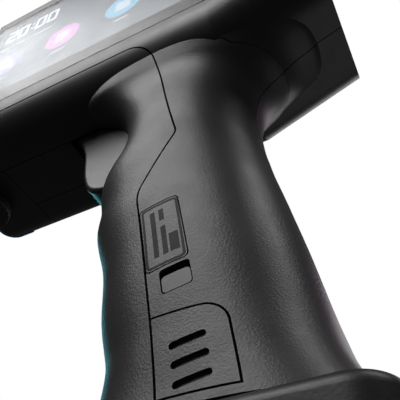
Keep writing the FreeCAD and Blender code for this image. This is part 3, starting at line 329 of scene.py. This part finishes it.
def circuit_board(name):
    """Green solder mask with copper tracks."""
    cloud_size = 0.005
    track_scale = 220.0
    track_depth = 0.03 * MM
    stained = (0.02, 0.12, 0.07, 1.0)
    tree = Tree(name)
    place = tree.coordinates()
    tracks = tree.add("TexBrick")
    tree.put(place, tracks.inputs["Vector"])
    tracks.inputs["Scale"].default_value = track_scale
    tracks.inputs["Color1"].default_value = (0.012, 0.09, 0.045, 1.0)
    tracks.inputs["Color2"].default_value = (0.010, 0.07, 0.036, 1.0)
    tracks.inputs["Mortar"].default_value = (0.05, 0.16, 0.07, 1.0)
    cloud = tree.noise(place, cloud_size)
    shader = tree.add("BsdfPrincipled")
    tree.put(tree.mix(tree.math("MULTIPLY", cloud, 0.3), tracks.outputs["Color"], stained),
             shader.inputs["Base Color"])
    tree.put(tree.mapped(cloud, NOISE_LOW, NOISE_HIGH, 0.3, 0.45), shader.inputs["Roughness"])
    tree.put(tree.bump(tracks.outputs["Fac"], track_depth, strength=0.5), shader.inputs["Normal"])
    return tree.finished(shader)


display_low, display_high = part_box("display_module")

MATERIALS = {
    "shell": moulded_plastic("HeadShell", base=0.022, roughness=0.36, grain=0.45 * MM,
                             depth=0.012 * MM),
    "grip_shell": moulded_plastic("GripShell", base=0.026, roughness=0.40, grain=0.42 * MM,
                                  depth=0.045 * MM),
    "foot": moulded_plastic("FootShell", base=0.014, roughness=0.40, grain=0.55 * MM,
                            depth=0.02 * MM),
    "trigger": moulded_plastic("TriggerSatin", base=0.03, roughness=0.34, grain=0.35 * MM,
                               depth=0.01 * MM),
    "blue_frame": moulded_plastic("BlueFrame", base=0.12, roughness=0.38, grain=0.4 * MM,
                                  depth=0.01 * MM, edge_highlight_strength=0.25, tint=(0.12, 0.95, 2.9)),
    "glass": clear_glass("CoverGlass"),
    "display": lit_display("DisplayPanel", display_low, display_high),
    "board": circuit_board("CircuitBoard"),
    "inner_plastic": moulded_plastic("InnerPlastic", base=0.09, roughness=0.5, grain=0.4 * MM,
                                     depth=0.01 * MM),
    "cartridge": moulded_plastic("CartridgeShell", base=0.03, roughness=0.3, grain=0.4 * MM,
                                 depth=0.006 * MM),
    "steel": metal("BrushedSteel", base=0.5, roughness=0.3, stretch=(1.0, 1.0, 14.0)),
    "brass": metal("PlatedBrass", base=0.6, roughness=0.28, stretch=(1.0, 8.0, 1.0),
                   tint=(1.0, 0.78, 0.42)),
    "rubber": moulded_plastic("SoftRubber", base=0.016, roughness=0.62, grain=0.5 * MM,
                              depth=0.02 * MM, edge_highlight_strength=0.3),
    "lamp": lit_symbol("LampLens", shade=(0.2, 0.75, 0.4), light=0.6),
    "battery": moulded_plastic("BatteryCase", base=0.035, roughness=0.42, grain=0.4 * MM,
                               depth=0.008 * MM),
}

for part in frame["record"]["subparts"]:
    mesh = nodes[part["node"]].data
    mesh.materials.clear()
    mesh.materials.append(MATERIALS[part["material_slot"]])


# ------------------------------------------------------------------------------ pieces


def make_piece(name, outline_groups, place, material, body, thick):
    """Flat piece cut from closed outlines in its own plane and given a small thickness.

    Each group is one outline of (right, up) pairs, and place maps (right, up, out) to the row
    frame.
    """
    built = bmesh.new()
    for outline in outline_groups:
        front = [built.verts.new(place(right, up, thick)) for right, up in outline]
        back = [built.verts.new(place(right, up, 0.0)) for right, up in outline]
        built.faces.new(front)
        built.faces.new(list(reversed(back)))
        count = len(outline)
        for i in range(count):
            j = (i + 1) % count
            built.faces.new((front[j], front[i], back[i], back[j]))
    bmesh.ops.recalc_face_normals(built, faces=built.faces[:])
    mesh = bpy.data.meshes.new(name)
    built.to_mesh(mesh)
    built.free()
    mesh.materials.append(material)
    piece = bpy.data.objects.new(name, mesh)
    scene.collection.objects.link(piece)
    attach(piece, body)


def round_outline(centre, radius, count):
    right, up = centre
    turns = [2 * math.pi * i / count for i in range(count)]
    return [(right + radius * math.cos(turn), up + radius * math.sin(turn)) for turn in turns]


def bar_outline(start, end, width, steps=6):
    """Round-ended bar between two points."""
    (x0, z0), (x1, z1) = start, end
    angle = math.atan2(z1 - z0, x1 - x0)
    half = width / 2
    points = []
    for (x, z), first in (((x1, z1), -90), ((x0, z0), 90)):
        for i in range(steps + 1):
            turn = angle + math.radians(first + 180 * i / steps)
            points.append((x + half * math.cos(turn), z + half * math.sin(turn)))
    return points


def box_outline(centre, wide, tall, corner, steps=4):
    """Rectangle with round corners."""
    right, up = centre
    points = []
    for sign_x, sign_z, first in ((1, 1, 0), (-1, 1, 90), (-1, -1, 180), (1, -1, 270)):
        x = right + sign_x * (wide / 2 - corner)
        z = up + sign_z * (tall / 2 - corner)
        for i in range(steps + 1):
            turn = math.radians(first + 90 * i / steps)
            points.append((x + corner * math.cos(turn), z + corner * math.sin(turn)))
    return points


# Bars of a seven-bar digit: 0 top, 1 top right, 2 low right, 3 foot, 4 low left, 5 top left,
# 6 middle
DIGIT_BARS = {"0": (0, 1, 2, 3, 4, 5), "2": (0, 1, 6, 4, 3)}


def digit_outlines(digit, left, foot, wide, tall, width):
    """Outlines of a generic clock digit made of bars."""
    right = left + wide
    top = foot + tall
    middle = foot + tall / 2
    ends = [((left, top), (right, top)), ((right, top), (right, middle)),
            ((right, middle), (right, foot)), ((left, foot), (right, foot)),
            ((left, middle), (left, foot)), ((left, top), (left, middle)),
            ((left, middle), (right, middle))]
    return [bar_outline(*ends[bar], width) for bar in DIGIT_BARS[digit]]


# Thickness of a drawn film, and the clearance between the display and the first film
FILM = 0.03 * MM
FILM_GAP = 0.02 * MM


def on_display(right, up, out):
    """A point in front of the display: right runs towards the rear of the head."""
    return (right, display_low.y - FILM_GAP - out, up)


def on_disc(right, up, out):
    """A point in front of a symbol's disc."""
    return on_display(right, up, out + FILM)


def make_clock(left, foot, material):
    """The clock, 20:00, with its lower left corner at (left, foot)."""
    digit_wide = 3.9 * MM
    digit_tall = 7.8 * MM
    bar_wide = 1.25 * MM
    digit_step = 6.0 * MM
    colon_step = 2.8 * MM
    colon_shift = 0.6 * MM
    dot_radius = 0.65 * MM
    dot_sides = 16
    outlines = []
    pen = left
    for sign in ("2", "0", ":", "0", "0"):
        if sign == ":":
            for height in (2.2 * MM, 5.6 * MM):
                centre = (pen + colon_shift, foot + height)
                outlines.append(round_outline(centre, dot_radius, dot_sides))
            pen += colon_step
        else:
            outlines += digit_outlines(sign, pen, foot, digit_wide, digit_tall, bar_wide)
            pen += digit_step
    make_piece("screen_clock", outlines, on_display, material, "printer", FILM)


def make_date_line(left, height, material):
    """Plain bars and dots in place of a date."""
    bar_wide = 0.9 * MM
    gap = 2.3
    outlines = []
    pen = left
    for length in (3.4, 0.5, 3.4, 0.5, 8.2):
        outlines.append(bar_outline((pen, height), (pen + length * MM, height), bar_wide))
        pen += (length + gap) * MM
    make_piece("screen_date_line", outlines, on_display, material, "printer", FILM)


def lens_glyph(x, z):
    """A ring with a handle."""
    ring_x = x - 0.6 * MM
    ring_z = z + 0.6 * MM
    radius = 2.6 * MM
    step = 20
    spots = [(ring_x + radius * math.cos(math.radians(turn)),
              ring_z + radius * math.sin(math.radians(turn))) for turn in range(0, 361, step)]
    handle = bar_outline((x + 1.3 * MM, z - 1.3 * MM), (x + 3.4 * MM, z - 3.4 * MM), 1.1 * MM)
    return [handle] + [bar_outline(start, end, 0.9 * MM) for start, end in zip(spots, spots[1:])]


def lines_glyph(x, z):
    """Four lines, the last one short."""
    left = x - 2.6 * MM
    return [bar_outline((left, z + height * MM), (x + reach * MM, z + height * MM), 1.0 * MM)
            for height, reach in ((2.6, 2.6), (0.9, 2.6), (-0.9, 2.6), (-2.6, 0.4))]


def stack_glyph(x, z):
    """Three wide blocks on top of each other."""
    return [box_outline((x, z + height * MM), 6.4 * MM, 1.4 * MM, 0.4 * MM)
            for height in (2.2, 0.0, -2.2)]


def tiles_glyph(x, z):
    """Four square tiles."""
    return [box_outline((x + right * MM, z + up * MM), 2.5 * MM, 2.5 * MM, 0.5 * MM)
            for right in (-1.7, 1.7) for up in (-1.7, 1.7)]


SYMBOLS = (
    ("violet", (0.24, 0.25, 0.52), lens_glyph),
    ("pink", (0.52, 0.26, 0.50), lines_glyph),
    ("blue", (0.22, 0.44, 0.58), stack_glyph),
    ("green", (0.22, 0.46, 0.40), tiles_glyph),
)


def make_screen_symbols():
    """Clock, date line and four round symbols, all generic."""
    left = display_low.x
    foot = display_low.z
    white = lit_symbol("SymbolWhite", shade=(0.62, 0.64, 0.66), light=0.9)
    white_dim = lit_symbol("SymbolDim", shade=(0.42, 0.45, 0.50), light=0.8)
    clock_foot = foot + 50.6 * MM
    make_clock(left + 7.0 * MM, clock_foot, white)
    make_date_line(left + 6.4 * MM, clock_foot - 6.6 * MM, white_dim)

    first_symbol = 13.9
    symbol_step = 26.1
    disc_radius = 7.5 * MM
    disc_sides = 48
    disc_thick = 0.02 * MM
    label_half = 2.6 * MM
    label_drop = 10.6 * MM
    label_wide = 0.8 * MM
    z = foot + 28.4 * MM
    for i, (name, shade, glyph) in enumerate(SYMBOLS):
        x = left + (first_symbol + symbol_step * i) * MM
        disc = lit_symbol("Symbol" + name.capitalize(), shade, light=0.8)
        make_piece("screen_disc_" + name, [round_outline((x, z), disc_radius, disc_sides)],
                   on_display, disc, "printer", disc_thick)
        label = bar_outline((x - label_half, z - label_drop), (x + label_half, z - label_drop),
                            label_wide)
        make_piece("screen_label_" + name, [label], on_display, white_dim, "printer",
                   FILM)
        make_piece("screen_glyph_" + name, glyph(x, z), on_disc, white, "printer", FILM)


make_screen_symbols()


class BadgeFace:
    """The badge's curved face, with its middle, its size and the direction it lies in."""

    def __init__(self, badge):
        points = [badge.matrix_world @ vertex.co for vertex in badge.data.vertices]
        middle = sum(points, Vector()) / len(points)
        xx = sum((p.x - middle.x) ** 2 for p in points)
        zz = sum((p.z - middle.z) ** 2 for p in points)
        xz = sum((p.x - middle.x) * (p.z - middle.z) for p in points)
        turn = 0.5 * math.atan2(2.0 * xz, xx - zz)
        along = Vector((math.cos(turn), 0.0, math.sin(turn)))
        self.along = -along if along.z < 0.0 else along
        self.across = Vector((self.along.z, 0.0, -self.along.x))
        longs = [(p - middle).dot(self.along) for p in points]
        wides = [(p - middle).dot(self.across) for p in points]
        self.centre = (middle + self.along * (max(longs) + min(longs)) / 2.0
                       + self.across * (max(wides) + min(wides)) / 2.0)
        self.tall = max(longs) - min(longs)
        self.wide = max(wides) - min(wides)
        faces = [tuple(polygon.vertices) for polygon in badge.data.polygons]
        self.surface = BVHTree.FromPolygons(points, faces)

    def place(self, right, up, out):
        """A point in front of the face; where no face lies behind it, the nearest one counts."""
        spot = self.centre + self.across * right + self.along * up
        start = Vector((spot.x, cad_low.y - 1.0 * MM, spot.z))
        hit = self.surface.ray_cast(start, Vector((0.0, 1.0, 0.0)))[0]
        if hit is None:
            hit = self.surface.find_nearest(Vector((spot.x, cad_low.y, spot.z)))[0]
        return (spot.x, hit.y - out, spot.z)


# Bars of the badge's mark, in millimetres: middle across, low end, high end, width
BADGE_BARS = (
    (-1.7, -6.0, 6.6, 1.1),
    (0.3, -6.0, 1.6, 1.1),
    (0.3, 3.4, 6.6, 1.1),
    (2.3, -6.0, -1.2, 2.0),
)


def between(start, end, share):
    """The point a share of the way from start to end."""
    return (start[0] + (end[0] - start[0]) * share, start[1] + (end[1] - start[1]) * share)


def make_badge_mark():
    """Dark border and a generic mark of plain bars, laid on the badge's curved face.

    Both are cut into short steps, so that they follow the curve.
    """
    face = BadgeFace(nodes["badge_plate"])
    ink = moulded_plastic("BadgeInk", base=0.003, roughness=0.55, grain=0.3 * MM,
                          depth=0.004 * MM, edge_highlight_strength=0.1, gloss=0.2)
    steps = 6
    border_wide = 0.55 * MM
    inset = 0.25 * MM
    inner_inset = inset + border_wide
    outer = box_outline((0.0, 0.0), face.wide - 2 * inset, face.tall - 2 * inset, 0.9 * MM)
    inner = box_outline((0.0, 0.0), face.wide - 2 * inner_inset, face.tall - 2 * inner_inset,
                        0.5 * MM)
    border = []
    for i in range(len(outer)):
        j = (i + 1) % len(outer)
        for k in range(steps):
            low_share = k / steps
            high_share = (k + 1) / steps
            border.append([between(outer[i], outer[j], low_share),
                           between(outer[i], outer[j], high_share),
                           between(inner[i], inner[j], high_share),
                           between(inner[i], inner[j], low_share)])
    make_piece("badge_border", border, face.place, ink, "printer", FILM)

    bars = []
    for shift, start, end, wide in BADGE_BARS:
        left = (shift - wide / 2.0) * MM
        right = (shift + wide / 2.0) * MM
        for k in range(steps):
            low_end = (start + (end - start) * k / steps) * MM
            high_end = (start + (end - start) * (k + 1) / steps) * MM
            bars.append([(left, low_end), (right, low_end), (right, high_end), (left, high_end)])
    make_piece("badge_bars", bars, face.place, ink, "printer", FILM)


make_badge_mark()


# ------------------------------------------------------------------------------ stage and light


def make_floor():
    """Pale floor that is seen from above only and throws no light back up."""
    cloud_size = 0.5
    radius = 3.0
    sides = 96
    clearance = 0.1 * MM
    tree = Tree("Floor")
    cloud = tree.noise(tree.coordinates(), cloud_size)
    shader = tree.add("BsdfPrincipled")
    tree.put(tree.mix(cloud, colour(0.80), colour(0.84)), shader.inputs["Base Color"])
    shader.inputs["Roughness"].default_value = 0.9
    clear = tree.add("BsdfTransparent")
    facing = tree.add("NewGeometry").outputs["Backfacing"]
    blend = tree.add("MixShader")
    tree.put(facing, blend.inputs[0])
    tree.put(shader.outputs[0], blend.inputs[1])
    tree.put(clear.outputs[0], blend.inputs[2])
    material = tree.finished(blend)
    built = bmesh.new()
    bmesh.ops.create_circle(built, cap_ends=True, segments=sides, radius=radius)
    mesh = bpy.data.meshes.new("Floor")
    built.to_mesh(mesh)
    built.free()
    mesh.materials.append(material)
    floor = bpy.data.objects.new("Floor", mesh)
    scene.collection.objects.link(floor)
    floor.location.z = cad_low.z - clearance
    floor.visible_diffuse = False
    floor.visible_glossy = False
    floor.visible_transmission = False
    floor.visible_shadow = False


def make_world():
    """White surroundings for the camera, and a dim dome, darker below, for everything else."""
    # The dome's strength rises between two heights, given as the z of a direction
    low_z, high_z = -0.35, 0.5
    low_strength, high_strength = 0.045, 0.085
    world = bpy.data.worlds.new("Studio")
    scene.world = world
    world.use_nodes = True
    tree = world.node_tree
    tree.nodes.clear()
    output = tree.nodes.new("ShaderNodeOutputWorld")
    seen = tree.nodes.new("ShaderNodeBackground")
    seen.inputs["Color"].default_value = (1.0, 1.0, 1.0, 1.0)
    dome = tree.nodes.new("ShaderNodeBackground")
    place = tree.nodes.new("ShaderNodeTexCoord")
    split = tree.nodes.new("ShaderNodeSeparateXYZ")
    ramp = tree.nodes.new("ShaderNodeMapRange")
    for socket, value in zip(ramp.inputs[1:5], (low_z, high_z, low_strength, high_strength)):
        socket.default_value = value
    tree.links.new(place.outputs["Generated"], split.inputs[0])
    tree.links.new(split.outputs["Z"], ramp.inputs[0])
    tree.links.new(ramp.outputs[0], dome.inputs["Strength"])
    path = tree.nodes.new("ShaderNodeLightPath")
    blend = tree.nodes.new("ShaderNodeMixShader")
    tree.links.new(path.outputs["Is Camera Ray"], blend.inputs[0])
    tree.links.new(dome.outputs[0], blend.inputs[1])
    tree.links.new(seen.outputs[0], blend.inputs[2])
    tree.links.new(blend.outputs[0], output.inputs["Surface"])


# The middle of the object, which every light faces
TARGET = Vector((-0.01, -0.01, 0.115))
ENERGY_PER_RADIANCE = 4.0


def softbox(name, direction, distance, wide, tall, radiance, tint=WHITE):
    """Rectangular light of a given radiance that faces the object from a direction."""
    light = bpy.data.lights.new(name, "AREA")
    light.shape = "RECTANGLE"
    light.size = wide
    light.size_y = tall
    light.energy = radiance * ENERGY_PER_RADIANCE * wide * tall
    light.color = tint
    lamp = bpy.data.objects.new(name, light)
    scene.collection.objects.link(lamp)
    towards = Vector(direction).normalized()
    lamp.location = TARGET + towards * distance
    lamp.rotation_euler = (-towards).to_track_quat("-Z", "Y").to_euler()
    lamp.visible_camera = False


def make_lights():
    softbox("Key", (-0.25, -0.62, 0.75), distance=1.3, wide=1.25, tall=0.80, radiance=3.2)
    softbox("RearRim", (0.58, 0.03, 0.82), distance=1.3, wide=0.42, tall=0.7, radiance=2.4)
    softbox("LowRear", (0.55, 0.50, -0.66), distance=1.2, wide=0.8, tall=0.8, radiance=0.3)
    softbox("BackFill", (0.25, 0.95, 0.35), distance=1.5, wide=0.9, tall=0.9, radiance=1.1)
    softbox("CyanRim", (-0.80, 0.50, 0.35), distance=1.2, wide=0.15, tall=0.7, radiance=1.8,
            tint=(0.15, 0.85, 1.0))
    softbox("MagentaRim", (0.45, 0.80, 0.45), distance=1.2, wide=0.12, tall=0.5, radiance=0.7,
            tint=(1.0, 0.35, 0.85))


def make_camera():
    """The photograph's view: low, close, from the screen side, looking up along the grip."""
    place = Vector((0.042, -0.087, -0.024))
    right = Vector((0.8921, 0.4518, -0.0016)).normalized()
    forward = Vector((-0.3117, 0.6181, 0.7217)).normalized()
    data = bpy.data.cameras.new("Camera")
    data.lens = 50.0
    data.sensor_width = 36.0
    data.clip_start = 0.01
    data.clip_end = 50.0
    camera = bpy.data.objects.new("Camera", data)
    scene.collection.objects.link(camera)
    up = right.cross(forward).normalized()
    right = forward.cross(up)
    turn = Matrix((right, up, -forward)).transposed()
    camera.matrix_world = Matrix.Translation(place) @ turn.to_4x4()
    scene.camera = camera


make_floor()
make_world()
make_lights()
make_camera()
scene.view_settings.view_transform = "Standard"
scene.view_settings.look = "None"
